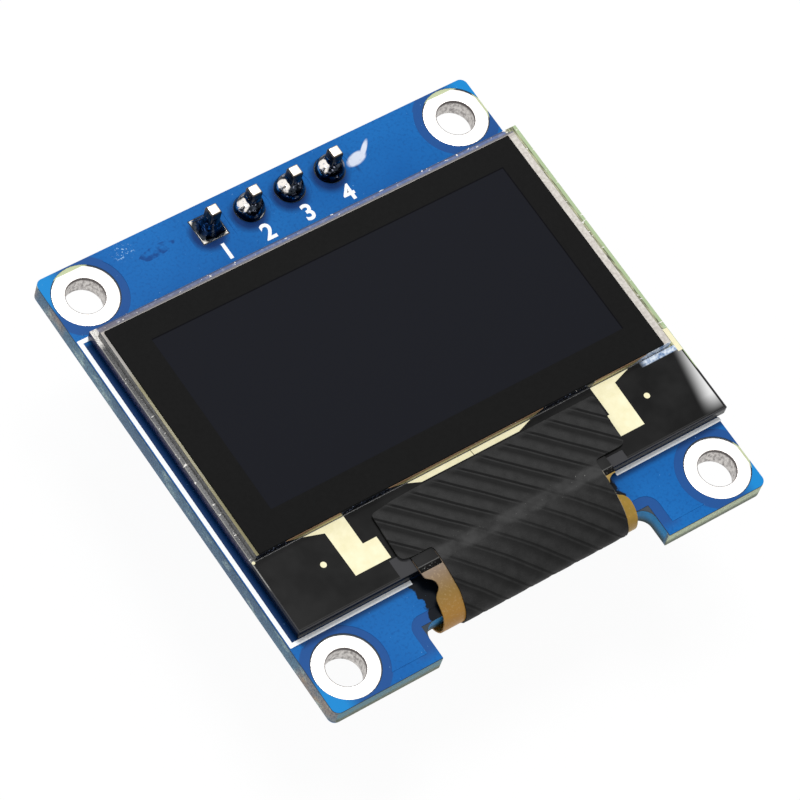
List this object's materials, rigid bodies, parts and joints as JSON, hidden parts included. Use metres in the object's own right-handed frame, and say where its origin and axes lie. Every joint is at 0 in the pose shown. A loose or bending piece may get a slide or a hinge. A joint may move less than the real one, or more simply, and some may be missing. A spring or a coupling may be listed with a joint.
{
  "type": "small oled display module",
  "caption": "Small flat display module: glass panel on a blue circuit board with corner screw holes, a folded flex at one edge and a pin header at the other.",
  "frame": {"origin": "centre of the four mounting holes, on the front face of the board", "axes": "+Z out of the display, along the mounting screws; +Y from the folded flex to the pin header; +X along the pin row"},
  "size_m": [0.0274, 0.0278, 0.0113],
  "materials": {
    "glass_epoxy": "woven glass-fibre laminate, routed edge",
    "blue_solder_mask": "semi-gloss blue solder mask",
    "white_legend": "matte white printed ink",
    "tinned_pad": "hot-air tinned copper",
    "header_plastic": "moulded black nylon",
    "pin_metal": "plated square pin",
    "solder": "bright solder",
    "foam_adhesive": "double-sided adhesive sheet",
    "panel_glass_rear": "ground-edge display glass",
    "edge_seal_resin": "cured edge resin",
    "pixel_film": "thin emissive film, unlit",
    "panel_glass_front": "ground-edge display glass",
    "polarizer_film": "satin black polarizer film",
    "black_coating": "glossy black coating on glass",
    "cream_electrode": "thin cream metal film",
    "silicon_die": "bare silicon",
    "amber_polyimide": "amber polyimide film",
    "black_resin": "cured black resin",
    "black_cover_tape": "ribbed matte black tape",
    "moulded_epoxy": "moulded black epoxy",
    "tinned_lead": "tinned lead frame",
    "ceramic_capacitor": "fired tan ceramic",
    "resistor_body": "black glazed resistor"
  },
  "bodies": {
    "root": {"board_laminate": "glass_epoxy", "front_solder_mask": "blue_solder_mask", "back_solder_mask": "blue_solder_mask", "front_legend": "white_legend", "back_legend": "white_legend", "plated_hole_1": "tinned_pad", "plated_hole_2": "tinned_pad", "plated_hole_3": "tinned_pad", "plated_hole_4": "tinned_pad", "header_pad_1": "tinned_pad", "header_pad_2": "tinned_pad", "header_pad_3": "tinned_pad", "header_pad_4": "tinned_pad", "header_housing": "header_plastic", "header_pin_1": "pin_metal", "header_pin_2": "pin_metal", "header_pin_3": "pin_metal", "header_pin_4": "pin_metal", "solder_joint_1": "solder", "solder_joint_2": "solder", "solder_joint_3": "solder", "solder_joint_4": "solder", "display_adhesive": "foam_adhesive", "rear_glass": "panel_glass_rear", "edge_seal": "edge_seal_resin", "pixel_matrix": "pixel_film", "front_glass": "panel_glass_front", "polarizer": "polarizer_film", "ledge_print": "black_coating", "ledge_electrodes": "cream_electrode", "driver_chip": "silicon_die", "flex_circuit": "amber_polyimide", "bond_resin": "black_resin", "cover_tape": "black_cover_tape", "flex_solder": "solder", "regulator_body": "moulded_epoxy", "regulator_leads": "tinned_lead", "capacitor_1": "ceramic_capacitor", "capacitor_2": "ceramic_capacitor", "capacitor_3": "ceramic_capacitor", "capacitor_4": "ceramic_capacitor", "capacitor_5": "ceramic_capacitor", "capacitor_6": "ceramic_capacitor", "resistor_1": "resistor_body", "resistor_2": "resistor_body", "resistor_3": "resistor_body", "resistor_4": "resistor_body", "resistor_5": "resistor_body", "resistor_6": "resistor_body", "resistor_7": "resistor_body", "capacitor_ends": "solder", "resistor_ends": "solder"}
  },
  "joints": []
}
